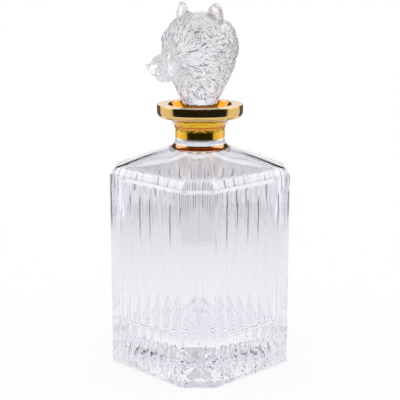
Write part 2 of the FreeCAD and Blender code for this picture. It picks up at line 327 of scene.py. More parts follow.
def addFur(material, look):
    tree = material.node_tree
    shader = tree.nodes["Principled BSDF"]
    place = addNode(tree, "Mapping", {"Vector": objectPlace(tree), "Location": look["centre"]}).outputs[0]
    inputs = {"Vector": place, "Rays": look["rays"], "Along": look["along"], "Curl": look["curl"],
              "Curl Grain": look["curlGrain"], "Line": look["line"]}
    strokes = addNode(tree, "Group", inputs, node_tree=furStrokes).outputs
    mask = paintedMask(tree, "furMask")
    addBump(tree, shader, product(tree, strokes["Height"], mask), *look["bump"])
    tint = mixColour(tree, mask, look["clear"], look["carved"])
    behind = addNode(tree, "NewGeometry").outputs["Backfacing"]  # no painted flecks on the far skin
    shadeFleck = product(tree, mathNode(tree, "SUBTRACT", 1.0, behind), mask, strokes["ShadeFleck"])
    # painted shade: near-black flecks along the fur strokes
    tree.links.new(mixColour(tree, shadeFleck, tint, look["shadeFleck"]), shader.inputs["Base Color"])


# gilding and seal

# the amber and mouth colours are painted reflection: the deep orange of light bouncing inside the gilt
# funnel
giltLook = {"deep": (0.66, 0.41, 0.12), "bright": (0.8, 0.56, 0.23),
            "paintedFunnelDeep": (1.0, 0.4, 0.008), "paintedFunnelBright": (1.0, 0.76, 0.02),
            "paintedMouthDeep": (0.36, 0.09, 0.004), "paintedMouthBright": (0.52, 0.18, 0.008),
            "facing": (0.6, 0.8), "mouthFacing": (0.1, 0.3), "bandRadius": (0.0243, 0.0246),
            "grain": 160.0, "stretch": (1, 1, 6), "roughLow": 0.02, "roughHigh": 0.1, "bump": (0.05, 0.0002)}
ringLook = {"deep": (0.3, 0.12, 0.045), "bright": (0.46, 0.22, 0.08), "back": (0.92, 0.92, 0.93),
            "facing": (0.1, 0.3), "grain": 160.0, "stretch": (1, 1, 6),
            "roughLow": 0.04, "roughHigh": 0.16, "bump": (0.05, 0.0002)}
sealLook = {"shade": (0.78, 0.78, 0.75), "light": (0.88, 0.88, 0.86),
            "grain": 600.0, "stretch": (1, 1, 1), "roughLow": 0.35, "roughHigh": 0.6, "bump": (0.15, 0.0002),
            "depth": 0.3, "depthRadius": (0.002, 0.002, 0.002)}


def metalMaterial(name, look):
    material, tree, shader = newMaterial(name)
    shader.inputs["Metallic"].default_value = 1.0
    height = addPolish(tree, shader, look)
    normal = addNode(tree, "TexCoord").outputs["Normal"]
    return material, tree, shader.inputs["Base Color"], height, splitVector(tree, normal)["Z"]


def giltMaterial(look):
    material, tree, base, height, normalUp = metalMaterial("polishedGilt", look)
    upward = fadeIn(tree, normalUp, look["facing"])
    flat = vectorNode(tree, "MULTIPLY", objectPlace(tree), (1, 1, 0))
    rim = fadeIn(tree, vectorLength(tree, flat), look["bandRadius"])
    shown = mathNode(tree, "MAXIMUM", upward, rim)  # top and rim stay gold, the rest is the funnel with painted reflection colour
    # painted reflection: the funnel and its mouth are coloured deep amber by how they face
    funnelReflection = tintRamp(tree, height, look["paintedFunnelDeep"], look["paintedFunnelBright"])
    mouthReflection = tintRamp(tree, height, look["paintedMouthDeep"], look["paintedMouthBright"])
    funnelReflection = mixColour(tree, fadeIn(tree, normalUp, look["mouthFacing"]), funnelReflection, mouthReflection)
    gold = tintRamp(tree, height, look["deep"], look["bright"])
    tree.links.new(mixColour(tree, shown, funnelReflection, gold), base)
    return material


def ringMaterial(look):
    material, tree, base, height, normalUp = metalMaterial("copperGilt", look)
    copper = tintRamp(tree, height, look["deep"], look["bright"])
    upward = fadeIn(tree, normalUp, look["facing"])
    tree.links.new(mixColour(tree, upward, look["back"], copper), base)  # bare against the glass
    return material


def sealMaterial(look):
    material, tree, shader = newMaterial("milkySeal")
    tint = tintRamp(tree, addPolish(tree, shader, look), look["shade"], look["light"])
    setInputs(tree, shader, {"Base Color": tint, "Subsurface Weight": look["depth"],
                             "Subsurface Radius": look["depthRadius"]})
    return material


bottleCrystal = crystalMaterial("bottleCrystal", crystalLook)
plugCrystal = crystalMaterial("plugCrystal", crystalLook)
headCrystal = crystalMaterial("headCrystal", crystalLook)
addFur(headCrystal, furLook)
muzzleCrystal = crystalMaterial("muzzleCrystal", muzzleLook)
gilt = giltMaterial(giltLook)
ringGilt = ringMaterial(ringLook)
seal = sealMaterial(sealLook)
print("materials made")


# bottle: one skin of rings, from the middle of the underside over the lip to the inside floor

bottle = {
    "width": 96.7, "draft": 0.8, "facet": 19.8, "footFacet": 22.2, "wallTop": 127.9, "footBevel": 0.8,
    "bevelRise": 4.4, "bevelDepth": 3.5, "shoulderRise": 12.7, "kickRadius": 40.0, "kickDepth": 1.5,
    "wall": 7.8, "cavityCorner": 17.5, "roofRound": 6.0, "roofTurn": 60.0, "roofRise": 11.5,
    "throatRound": 3.0, "shoulderThickness": 4.6, "floor": 27.0, "floorRound": 5.0,
    "starRays": 24, "starDepth": 2.4,
    "flutes": 7, "fluteDepth": 1.1, "fluteLand": 0.4, "fluteMargin": 0.7, "tipGap": 6.5, "tipLength": 20.0,
    "toeHeight": 4.0, "toeLength": 6.0, "fluteSteps": 12, "facetSteps": 12, "holdGap": 0.4,
    "neckRadius": 16.2, "neckWall": 3.2, "neckHeight": 11.0, "neckRound": 5.5, "neckTurn": 75.0,
    "ringTurn": 45.0,
    "lipRadius": 28.1, "lipRise": 17.0, "lipLand": 7.2, "lipRound": 3.4, "lipRoundHeight": 4.0,
}
collar = {"wall": 0.6, "band": 4.5, "liner": 5.0, "edge": 0.45, "bondGap": 0.05, "sunk": 0.02, "skin": 0.03,
          "steps": 180}

shoulderEdge = bottle["wallTop"] + bottle["bevelRise"]
neckFoot = shoulderEdge + bottle["shoulderRise"]
flareStart = neckFoot + bottle["neckHeight"]
lipTop = flareStart + bottle["lipRise"]
bandBottom = lipTop - collar["band"]
boreRadius = bottle["neckRadius"] - bottle["neckWall"]
mouthRadius = bottle["lipRadius"] - bottle["lipLand"]
rebate = collar["wall"] + collar["bondGap"]
linerRadius = boreRadius - rebate
funnelAngle = math.atan2(mouthRadius - linerRadius, bottle["lipRise"])
footEnd = 180.0 + bottle["neckTurn"]
footCentre = (bottle["neckRadius"] + bottle["neckRound"],
              neckFoot + bottle["neckRound"] * math.sin(math.radians(bottle["neckTurn"])))


def funnelStart(offset):  # where the cone of the mouth leaves the bore
    return (linerRadius + offset, flareStart - offset * math.tan(funnelAngle / 2))


def funnelAt(offset, z):
    return (linerRadius + offset / math.cos(funnelAngle) + (z - flareStart) * math.tan(funnelAngle), z)


def insetFacet(facet, inset):
    return facet - 2 * inset * math.tan(math.pi / 8)  # a flat corner after all eight sides move in


topHalf = bottle["width"] / 2
footHalf = topHalf + bottle["draft"]
faceWidth = 2 * footHalf - bottle["footFacet"] * math.sqrt(2)
flutePitch = (faceWidth - 2 * bottle["fluteMargin"] + bottle["fluteLand"]) / bottle["flutes"]
fluteChord = flutePitch - bottle["fluteLand"]
fluteRadius = (fluteChord ** 2 / 4 + bottle["fluteDepth"] ** 2) / (2 * bottle["fluteDepth"])
standOff = fluteRadius - bottle["fluteDepth"]


def bottleColumns():
    columns = []
    for side in range(4):
        columns.append((side, "start", 0, 0.0))
        for flute in range(bottle["flutes"]):
            for step in range(bottle["fluteSteps"] + 1):
                columns.append((side, "flute", flute, 2 * step / bottle["fluteSteps"] - 1))
        for step in range(bottle["facetSteps"]):
            columns.append((side, "facet", 0, step / bottle["facetSteps"]))
    return columns


columns = bottleColumns()


def octagonRing(half, facet, z, depth=0.0):
    near = half - facet / math.sqrt(2)
    cutRadius = standOff + depth
    halfChord = math.sqrt(cutRadius ** 2 - standOff ** 2) if depth > 0 else fluteChord / 2
    ring = []
    for side, kind, flute, share in columns:
        if kind == "start":
            out, along = half, -near
        elif kind == "facet":
            out, along = half + (near - half) * share, near + (half - near) * share
        else:
            reach = share * halfChord
            along = (flute - (bottle["flutes"] - 1) / 2) * flutePitch + reach
            out = half
            if depth > 0:
                out -= math.sqrt(cutRadius ** 2 - reach ** 2) - standOff
        turn = side * math.pi / 2
        ring.append(Vector((out * math.cos(turn) - along * math.sin(turn),
                            out * math.sin(turn) + along * math.cos(turn), z)))
    return ring


columnAngles = [math.atan2(p.y, p.x) for p in octagonRing(topHalf, bottle["facet"], 0)]


def roundRing(radius, z):
    return [Vector((radius * math.cos(a), radius * math.sin(a), z)) for a in columnAngles]


def roundRings(outline):
    return [roundRing(r, z) for r, z in outline]


def insideRing(straight, corner, z):
    ring = []
    for angle in columnAngles:
        toward = Vector((math.cos(angle), math.sin(angle)))
        spot = toward * (straight + corner) / max(abs(toward.x), abs(toward.y))
        if min(abs(spot.x), abs(spot.y)) > straight:  # in the round of a corner
            centre = Vector((math.copysign(straight, toward.x), math.copysign(straight, toward.y)))
            middle = toward.dot(centre)
            spot = toward * (middle + math.sqrt(middle ** 2 - centre.length_squared + corner ** 2))
        ring.append(Vector((spot.x, spot.y, z)))
    return ring


def mixRings(a, b, share):
    return [p.lerp(q, share) for p, q in zip(a, b)]


def footRings():
    bevel = bottle["footBevel"]
    levels = ((bevel, 0), (bevel * 0.3, bevel * 0.3), (0, bevel))
    return [octagonRing(footHalf - inset, insetFacet(bottle["footFacet"], inset), z) for inset, z in levels]


def wallRings():
    foot, top, full, hold = [bottle[key] for key in ("footBevel", "wallTop", "fluteDepth", "holdGap")]
    toe, tip = bottle["toeHeight"], bottle["wallTop"] - bottle["tipGap"]
    levels = [(toe - hold, 0)]
    for share in (0.004, 0.03, 0.09, 0.18, 0.3, 0.45, 0.62, 0.8, 1.0):
        levels.append((toe + bottle["toeLength"] * share, full * math.sin(share * math.pi / 2)))
    straightFoot, straightTop = toe + bottle["toeLength"], tip - bottle["tipLength"]
    for share in (0.2, 0.4, 0.6, 0.8, 1.0):
        levels.append((straightFoot + (straightTop - straightFoot) * share, full))
    for share in (0.9, 0.8, 0.7, 0.6, 0.5, 0.4, 0.3, 0.22, 0.15, 0.09, 0.04, 0.012, 0.002):
        levels.append((tip - bottle["tipLength"] * share, full * share))
    levels += [(tip + hold, 0), (top - hold, 0)]
    rings = []
    for z, depth in levels:
        down = (top - z) / (top - foot)
        facet = bottle["facet"] + (bottle["footFacet"] - bottle["facet"]) * down
        rings.append(octagonRing(topHalf + bottle["draft"] * down, facet, z, depth))
    return rings


def shoulderRings():
    footRadius = arcPoints(footCentre, bottle["neckRound"], footEnd, footEnd, 1)[0][0]
    bare = arcPoints(footCentre, bottle["neckRound"], footEnd - bottle["ringTurn"], 180, 8)
    rings = [octagonRing(topHalf, bottle["facet"], bottle["wallTop"])]
    inset = bottle["bevelDepth"]
    edge = octagonRing(topHalf - inset, insetFacet(bottle["facet"], inset), shoulderEdge)
    foot = roundRing(footRadius, neckFoot)
    for share in (0, 0.015, 0.15, 0.3, 0.45, 0.6, 0.75, 0.9, 1.0):
        rings.append(mixRings(edge, foot, share))
    return rings + roundRings([(bare[0][0], neckFoot)] + bare)  # notch for the gilt ring, rest of the round


def lipRoundPoints(offset):
    foot = bottle["lipRadius"] - bottle["lipRound"]
    points = []
    for step in range(9):
        angle = step / 8 * math.pi / 2
        points.append((foot + (bottle["lipRound"] + offset) * math.sin(angle),
                       bandBottom - (bottle["lipRoundHeight"] + offset) * math.cos(angle)))
    return points


def lipRings():
    run = bottle["lipRadius"] - bottle["lipRound"] - bottle["neckRadius"]
    rise = bottle["lipRise"] - collar["band"] - bottle["lipRoundHeight"]
    flare = bendRadius(run, rise)
    end = math.degrees(math.atan2(rise, run - flare))
    seat = bottle["lipRadius"] - rebate
    outline = [(bottle["neckRadius"], flareStart - 3)]
    outline += arcPoints((bottle["neckRadius"] + flare, flareStart), flare, 180, end, 16)
    outline += lipRoundPoints(0.0)[1:]
    outline += [(seat, bandBottom + 0.01), (seat, lipTop - rebate)]
    outline += [funnelAt(rebate, lipTop - rebate), funnelStart(rebate)]
    return roundRings(outline)


def insideRings():
    corner, floor, floorRound = bottle["cavityCorner"], bottle["floor"], bottle["floorRound"]
    straight = topHalf - bottle["wall"] - corner
    throatRound = bottle["throatRound"]
    throat = boreRadius + throatRound
    boreFoot = neckFoot - bottle["shoulderThickness"]
    roofRound, roofTurn = bottle["roofRound"], math.radians(bottle["roofTurn"])
    wallTop = boreFoot - bottle["roofRise"] - roofRound * math.sin(roofTurn)
    rings = roundRings(arcPoints((throat, boreFoot + throatRound), throatRound, 180, 270, 8))
    edge = []
    for step in range(8, -1, -1):
        turn = roofTurn * step / 8
        inset, rise = roofRound * (1 - math.cos(turn)), roofRound * math.sin(turn)
        edge.append(insideRing(straight, corner - inset, wallTop + rise))
    for share in (0.15, 0.3, 0.45, 0.6, 0.75, 0.9):
        rings.append(mixRings(rings[8], edge[0], share))
    rings += edge
    for share in (0.25, 0.5, 0.75):
        rings.append(insideRing(straight, corner, wallTop + (floor + floorRound - wallTop) * share))
    for step in range(0, 11):
        angle = step / 10 * math.pi / 2
        rings.append(insideRing(straight, corner - floorRound * (1 - math.cos(angle)),
                                floor + floorRound * (1 - math.sin(angle))))
    for share in (0.7, 0.4, 0.15, 0.02):
        rings.append([Vector((p.x * share, p.y * share, floor)) for p in rings[-1]])
    return rings


def starPhases():
    lines = 2 * bottle["starRays"]
    placed = [(angle - columnAngles[0]) % math.tau / math.tau * lines for angle in columnAngles]
    anchors = [min(range(len(placed)), key=lambda i: abs(placed[i] - line)) for line in range(lines)]
    phases = [0.0] * len(placed)
    for line, first in enumerate(anchors):  # the nearest column moves on to each line of the star
        last = anchors[line + 1] if line + 1 < lines else len(placed)
        for index in range(first, last):
            phases[index] = line + (index - first) / (last - first)
    return phases


def starRings():
    phases = starPhases()
    rings = []
    for share in (0.02, 0.1, 0.25, 0.4, 0.6, 0.8, 0.99, 1.0):
        ring = []
        for phase in phases:
            angle = columnAngles[0] + phase / (2 * bottle["starRays"]) * math.tau
            rise = bottle["kickDepth"] * (1 - share)
            if share < 1:
                rise += bottle["starDepth"] * share * (1 - abs(phase % 2 - 1))
            radius = bottle["kickRadius"] * share
            ring.append(Vector((radius * math.cos(angle), radius * math.sin(angle), rise)))
        rings.append(ring)
    return rings


def hipColumns():
    hips = set()
    for index, (side, kind, flute, share) in enumerate(columns):  # by the corners at -X -Y and +X +Y
        faceStart = kind == "start" and side % 2 == 1
        faceEnd = kind == "facet" and share == 0 and side % 2 == 0
        if faceStart or faceEnd:
            inward = 1 if faceStart else -1  # toward the middle of the fluted face
            hips.update((index + inward * step) % len(columns) for step in range(-1, 5))
    return hips


hips = hipColumns()


# how much painted shade a hip column gets at a height
def hipShade(index, z):
    if index not in hips:
        return 0.0
    return smoothStep(bottle["wallTop"], shoulderEdge, z) * smoothStep(neckFoot - 1, neckFoot - 4, z)


def markRidges(bm, column):
    ridge = bm.edges.layers.int.new("ridge")
    low, high = bottle["toeHeight"] * mm, (bottle["wallTop"] - bottle["tipGap"]) * mm
    borders = {i for i, c in enumerate(columns) if c[1] == "flute" and abs(c[3]) == 1}
    for edge in bm.edges:
        a, b = edge.verts
        onSkin = max(abs(a.co.x), abs(a.co.y)) > (topHalf - bottle["wall"] / 2) * mm
        upright = a[column] == b[column] and a[column] in borders
        if onSkin and upright and low <= min(a.co.z, b.co.z) < high:
            edge[ridge] = 1
        for level in (bottle["wallTop"] * mm, shoulderEdge * mm):  # both edges of the bevel are rounded over
            if max(abs(a.co.z - level), abs(b.co.z - level)) < 0.01 * mm:
                edge[ridge] = -1


def buildBottle():
    bm = bmesh.new()
    column = bm.verts.layers.int.new("column")
    # painted shade on the hips, read by the crystal material
    hip = bm.verts.layers.float.new("paintedHipShade")
    under = starRings() + footRings()
    skin = wallRings() + shoulderRings()
    rings = under + skin + lipRings() + insideRings()
    verts = bmesh.ops.create_circle(bm, segments=len(columns), radius=mm)["verts"]
    for index, vert in enumerate(verts):
        vert[column] = index
        vert.co = rings[0][index] * mm
    firstVerts = list(verts)
    edges = list(bm.edges)
    for place, ring in enumerate(rings[1:], 1):
        onSkin = len(under) <= place < len(under) + len(skin)
        made = bmesh.ops.extrude_edge_only(bm, edges=edges)["geom"]
        verts = [item for item in made if isinstance(item, bmesh.types.BMVert)]
        fresh = set(verts)
        edges = [item for item in made if isinstance(item, bmesh.types.BMEdge)
                 and item.verts[0] in fresh and item.verts[1] in fresh]
        for vert in verts:
            vert.co = ring[vert[column]] * mm
            vert[hip] = hipShade(vert[column], ring[vert[column]].z) if onSkin else 0.0
    bmesh.ops.pointmerge(bm, verts=firstVerts, merge_co=(0, 0, bottle["kickDepth"] * mm))
    bmesh.ops.pointmerge(bm, verts=verts, merge_co=(0, 0, bottle["floor"] * mm))
    bmesh.ops.recalc_face_normals(bm, faces=bm.faces)
    markRidges(bm, column)
    return placePiece("bottle_glass", bm, bottleCrystal, "bottle", ["glass_bottle"], 20.0)


addPaintedEdgeShade(bottleCrystal, flutePitch, paintedEdgeShadeLook)
bottlePiece = buildBottle()
print("bottle:", len(bottlePiece.data.polygons), "faces")


# gilt collar and ring, sunk a hair into the glass that they are bonded to

def buildCollar():
    glassSide = rebate + collar["sunk"]
    underTop = lipTop - rebate - collar["sunk"]
    linerFoot = flareStart - collar["liner"]
    edge, lip = collar["edge"], bottle["lipRadius"]
    bandInside = lip - glassSide
    outline = [(linerRadius, linerFoot), funnelStart(0), funnelAt(0, lipTop - edge)]
    outline += arcPoints((funnelAt(0, lipTop)[0] + edge, lipTop - edge), edge, 150, 90, 4)
    outline += arcPoints((lip - edge, lipTop - edge), edge, 90, 0, 6)
    outline += lipRoundPoints(collar["skin"])[::-1]  # a skin of gilding on the round under the rim
    outline += lipRoundPoints(-collar["sunk"])
    outline += [(bandInside, bandBottom), (bandInside, underTop)]
    outline += [funnelAt(glassSide, underTop), funnelStart(glassSide), (linerRadius + glassSide, linerFoot)]
    bm = spinOutline(outline, collar["steps"], True)
    return placePiece("gilt_lip", bm, gilt, "bottle", ["gilt_collar"], 24.0)


def buildRing():
    face = arcPoints(footCentre, bottle["neckRound"], footEnd, footEnd - bottle["ringTurn"], 16)
    inside = face[-1][0] - collar["sunk"]
    under = neckFoot - collar["sunk"]
    outline = face + [(inside, face[-1][1]), (inside, under), (face[0][0], under)]
    bm = spinOutline(outline, collar["steps"], True)
    return placePiece("gilt_ring", bm, ringGilt, "bottle", ["neck_ring"])


buildCollar()
buildRing()
print("collar and ring made")


# stopper plug, its seal and the cement under the head

plug = {"sealGap": 0.3, "sealWall": 1.4, "rib": 0.55, "ribs": 3, "endGap": 0.1, "runningGap": 0.05,
        "overhang": 2.0, "bead": 0.7, "beadHeight": 1.0, "shoulder": 0.7, "shoulderLength": 8.5,
        "cement": 0.2, "edge": 0.25, "steps": 120}
headBase = lipTop
sealCrest = linerRadius - plug["sealGap"]
plugRadius = sealCrest - plug["rib"] - plug["sealWall"] - plug["runningGap"]
plugShoulder = plugRadius + plug["shoulder"]
plugTop = headBase - plug["cement"]
plugStep = plugTop - plug["shoulderLength"]
plugBottom = flareStart - collar["liner"] - plug["overhang"]
beadTop = plugBottom + plug["beadHeight"]


def buildPlug():
    bead = plugRadius + plug["bead"]
    edge = plug["edge"]
    outline = [(0, plugBottom)]
    outline += arcPoints((bead - edge, plugBottom + edge), edge, -90, 0, 5)
    outline += arcPoints((bead - edge, beadTop - edge), edge, 0, 90, 5)
    outline += [(plugRadius, beadTop), (plugRadius, plugStep)]
    outline += arcPoints((plugShoulder - edge, plugStep + edge), edge, -90, 0, 5)
    outline += [(plugShoulder, plugTop), (0, plugTop)]
    bm = spinOutline(outline, plug["steps"], False)
    return placePiece("stopper_shank", bm, plugCrystal, "stopper", ["stopper_plug"])


def buildSeal():
    bottom, top = beadTop + plug["endGap"], plugStep - plug["endGap"]
    inside = plugRadius + plug["runningGap"]
    outside = inside + plug["sealWall"]
    seatStart = flareStart + plug["rib"]
    pitch = (flareStart - bottom) / plug["ribs"]
    outline = [(inside, bottom), (outside, bottom)]
    for place in range(plug["ribs"]):
        outline += arcPoints((outside, bottom + (place + 0.5) * pitch), plug["rib"], -90, 90, 8)
    outline += [(outside, seatStart), funnelAt(-plug["sealGap"], seatStart), funnelAt(-plug["sealGap"], top)]
    outline.append((inside, top))
    bm = spinOutline(outline, plug["steps"], True)
    return placePiece("stopper_seal", bm, seal, "seal", ["plug_seal"])


def buildCement():
    outline = [(0, plugTop), (plugShoulder, plugTop), (plugShoulder, headBase), (0, headBase)]
    bm = spinOutline(outline, plug["steps"], False)
    return placePiece("head_cement", bm, plugCrystal, "stopper", ["head_bond"])


buildPlug()
buildSeal()
buildCement()
print("plug, seal and cement made")


# stopper head: joined forms, remeshed to one skin, then carved

head = {
    "outline": [(11.1, 0), (12.1, 2.5), (13.6, 5.5), (17.3, 12.7), (20.4, 19), (23.0, 26), (24.9, 34),
                (24.7, 41), (22.7, 47), (19.2, 52), (13.3, 56.2), (6.5, 58.3), (0, 58.9)],
    "steps": 96, "voxel": 0.42, "smoothing": 24, "baseSnap": 0.3,
    "ear": (14.7, -1.3, 56.0), "earLean": 9.0, "earTurn": 12.0, "earSize": (6.2, 3.3, 9.2),
    "bowlDepth": 2.2, "bowlHalf": (3.6, 6.0), "bowlRise": 0.5, "bowlReach": 6.0, "bowlFoot": -7.0,
    "eye": (8.5, -23.6, 38.0), "eyeSocket": 4.0, "socketDepth": 1.9, "eyeBall": 2.5, "ballRise": 1.7,
    "mouthLevel": 22.6, "mouthSlope": 0.08, "mouthTip": -44.0, "mouthRun": (-20.0, -27.0),
    "mouthDepth": 1.5, "mouthHalf": 0.8,
    "nostril": (2.0, -46.0, 29.4), "nostrilDepth": 1.0, "nostrilHalf": 1.1,
    "splitDepth": 0.8, "splitHalf": 0.6, "splitRun": (-42.0, -45.0), "splitTop": (28.0, 26.0),
    "muzzleFrom": -25.0, "muzzleTo": -28.5, "muzzleTop": 37.0, "plainCheek": 9.0, "cheekTop": (40.0, 33.0),
    "earBare": (53.0, 49.5), "earFrom": 8.5, "eyeBare": (2.4, 4.6),
}
headForms = [  # centre from the base of the head, half sizes
    ((0, -29.2, 27.6), (8.0, 11.6, 7.2)),
    ((0, -42.4, 27.0), (3.8, 3.2, 2.4)),
    ((0, -37.4, 24.6), (5.8, 5.4, 3.9)),
    ((0, -30.4, 20.3), (5.8, 6.6, 4.3)),
    ((0, -20, 21.5), (8.5, 9.0, 5.5)),
    ((13.5, -12, 25.5), (9, 10.0, 10.5)),
    ((-13.5, -12, 25.5), (9, 10.0, 10.5)),
    ((8.0, -18.8, 42.3), (7.6, 5.0, 4.6)),
    ((-8.0, -18.8, 42.3), (7.6, 5.0, 4.6)),
]
locks = {"seed": 11, "spacing": 3.4, "length": (6.0, 11.0), "width": (1.6, 2.6), "height": (0.6, 1.1),
         "base": 0.7, "smoothing": 3, "wave": 1.4, "step": 0.5, "leastShare": 0.15,
         "flowFrom": (0, -36, 34), "flowDown": (0, 0.15, -1), "flowFall": (40, 8), "fallShare": (0.35, 0.5),
         "swirl": 0.9, "swirlGrain": 0.09}


def addForm(bm, centre, sizes, tilt=Matrix.Identity(4)):
    scale = Matrix.Diagonal([size * mm for size in sizes] + [1])
    shape = Matrix.Translation(Vector(centre) * mm) @ tilt @ scale
    bmesh.ops.create_icosphere(bm, subdivisions=4, radius=1.0, matrix=shape)


def earTilt(side):
    turn = Matrix.Rotation(math.radians(side * head["earTurn"]), 4, "Z")
    return turn @ Matrix.Rotation(math.radians(side * head["earLean"]), 4, "Y")


def fromHeadBase(co):
    p = co / mm
    p.z -= headBase
    return p


def joinedForms():
    bm = spinOutline([(r, z + headBase) for r, z in [(0, 0)] + head["outline"]], head["steps"], False)
    for centre, sizes in headForms:
        addForm(bm, (centre[0], centre[1], centre[2] + headBase), sizes)
    for side in (-1, 1):
        x, y, z = head["ear"]
        addForm(bm, (side * x, y, z + headBase), head["earSize"], earTilt(side))
    rough = meshObject("forms", bm)
    remesh = rough.modifiers.new("oneSkin", "REMESH")
    remesh.mode = "VOXEL"
    remesh.voxel_size = head["voxel"] * mm
    evaluated = rough.evaluated_get(bpy.context.evaluated_depsgraph_get())
    skin = bpy.data.meshes.new_from_object(evaluated)
    bpy.data.objects.remove(rough)
    bm = bmesh.new()
    bm.from_mesh(skin)
    bpy.data.meshes.remove(skin)
    smoothSkin(bm, head["smoothing"])
    return bm


def dent(gap, half, depth):
    return -depth * math.exp(-(gap / half) ** 2)


def carveFace(bm):
    for vert in bm.verts:
        p = fromHeadBase(vert.co)
        mirrored = Vector((abs(p.x), p.y, p.z))
        eyeGap = (mirrored - Vector(head["eye"])).length
        push = dent(eyeGap, head["eyeSocket"], head["socketDepth"])
        if eyeGap < head["eyeBall"]:
            push += head["ballRise"] * math.sqrt(1 - (eyeGap / head["eyeBall"]) ** 2)
        mouthLevel = head["mouthLevel"] + head["mouthSlope"] * (p.y - head["mouthTip"])
        alongMouth = smoothStep(*head["mouthRun"], p.y)
        push += dent(p.z - mouthLevel, head["mouthHalf"], head["mouthDepth"] * alongMouth)
        nostrilGap = (mirrored - Vector(head["nostril"])).length
        push += dent(nostrilGap, head["nostrilHalf"], head["nostrilDepth"])
        alongSplit = smoothStep(*head["splitRun"], p.y) * smoothStep(*head["splitTop"], p.z)
        push += dent(p.x, head["splitHalf"], head["splitDepth"] * alongSplit)  # the split under the nose
        local = earTilt(1).inverted() @ (mirrored - Vector(head["ear"]))
        across, rise = local.x / head["bowlHalf"][0], (local.z - head["bowlRise"]) / head["bowlHalf"][1]
        if local.y < 0 and abs(local.x) < head["bowlReach"] and local.z > head["bowlFoot"]:
            bowl = head["bowlDepth"] * math.exp(-(across ** 4 + rise ** 4))
            inward = earTilt(1) @ Vector((0, bowl, 0))
            vert.co += Vector((math.copysign(inward.x, p.x * inward.x), inward.y, inward.z)) * mm
        vert.co += vert.normal * push * mm
    bm.normal_update()


def furShare(p):
    back = head["plainCheek"] * smoothStep(*head["cheekTop"], p.z) if p.x < 0 else 0.0  # the far cheek
    face = smoothStep(head["muzzleTo"], head["muzzleFrom"], p.y - back)
    ear = smoothStep(*head["earBare"], p.z) if abs(p.x) > head["earFrom"] else 1.0
    eyeGap = (Vector((abs(p.x), p.y, p.z)) - Vector(head["eye"])).length
    return face * ear * smoothStep(*head["eyeBare"], eyeGap)


def furFlow(p, normal):
    away = p - Vector(locks["flowFrom"])
    away.normalize()
    least, more = locks["fallShare"]
    flow = away.lerp(Vector(locks["flowDown"]), least + more * smoothStep(*locks["flowFall"], p.z))
    flow += noise.noise_vector(p * locks["swirlGrain"]) * locks["swirl"]
    flow -= normal * flow.dot(normal)
    return flow.normalized()


def lockRoots(points, tree, rng):
    roots = []
    taken = set()
    order = list(range(len(points)))
    rng.shuffle(order)
    for index in order:
        if index in taken or furShare(points[index]) < locks["leastShare"]:
            continue
        roots.append(index)
        for _, near, _ in tree.find_range(points[index], locks["spacing"]):
            taken.add(near)
    return roots


def layLocks(bm):
    rng = random.Random(locks["seed"])
    noise.seed_set(locks["seed"])  # without it the swirl differs from run to run
    mask = bm.verts.layers.float.new("furMask")
    verts = list(bm.verts)
    points = [fromHeadBase(vert.co) for vert in verts]
    normals = [vert.normal.copy() for vert in verts]
    tree = kdtree.KDTree(len(verts))
    for index, p in enumerate(points):
        tree.insert(p, index)
    tree.balance()
    heights = [0.0] * len(verts)
    roots = lockRoots(points, tree, rng)
    for index in roots:
        length, width, tall = [rng.uniform(*locks[key]) for key in ("length", "width", "height")]
        phase = rng.uniform(0, math.tau)
        place = points[index].copy()
        normal = normals[index]
        steps = int(length / locks["step"])
        for step in range(steps + 1):
            share = step / steps
            reach = width * (0.3 + 0.7 * math.sin(math.pi * (0.1 + 0.85 * share)))  # slim root, slim tip
            lift = tall * (0.45 + 0.55 * share) * furShare(place)
            for spot, near, gap in tree.find_range(place, reach):
                rise = lift * math.sqrt(max(0.0, 1 - (gap / reach) ** 2))
                if rise > heights[near]:
                    heights[near] = rise
            flow = furFlow(place, normal)
            sideways = normal.cross(flow)
            swing = locks["wave"] * math.cos(phase + share * math.tau) * math.tau / length / 2
            place = place + flow * locks["step"] + sideways * swing * locks["step"]
            _, nearest, _ = tree.find(place)
            place = points[nearest].lerp(place, 0.5)
            normal = normals[nearest]
    for vert, normal, p, rise in zip(verts, normals, points, heights):
        vert[mask] = furShare(p)
        vert.co += normal * (rise - locks["base"] * vert[mask]) * mm
    smoothSkin(bm, locks["smoothing"])
    return len(roots)


def buildHead():
    bm = joinedForms()
    carveFace(bm)
    lockCount = layLocks(bm)
    baseZ = headBase * mm
    for vert in bm.verts:
        if vert.co.z < baseZ + head["baseSnap"] * mm:
            vert.co.z = max(vert.co.z, baseZ)
    for face in bm.faces:
        p = fromHeadBase(face.calc_center_median())
        back = head["plainCheek"] if p.x < 0 else 0.0
        if p.y - back < head["muzzleFrom"] and p.z < head["muzzleTop"]:
            face.material_index = 1
    print("head:", len(bm.faces), "faces,", lockCount, "locks")
    piece = placePiece("bear_head", bm, headCrystal, "stopper", ["stopper_head"], 75.0)
    piece.data.materials.append(muzzleCrystal)  # the plain muzzle and the cheek that shows through it
    return piece


buildHead()


# studio: pale floor with painted shade for the glass, two soft lamps, and white surroundings with dark
# sides, bands and patches for the glass

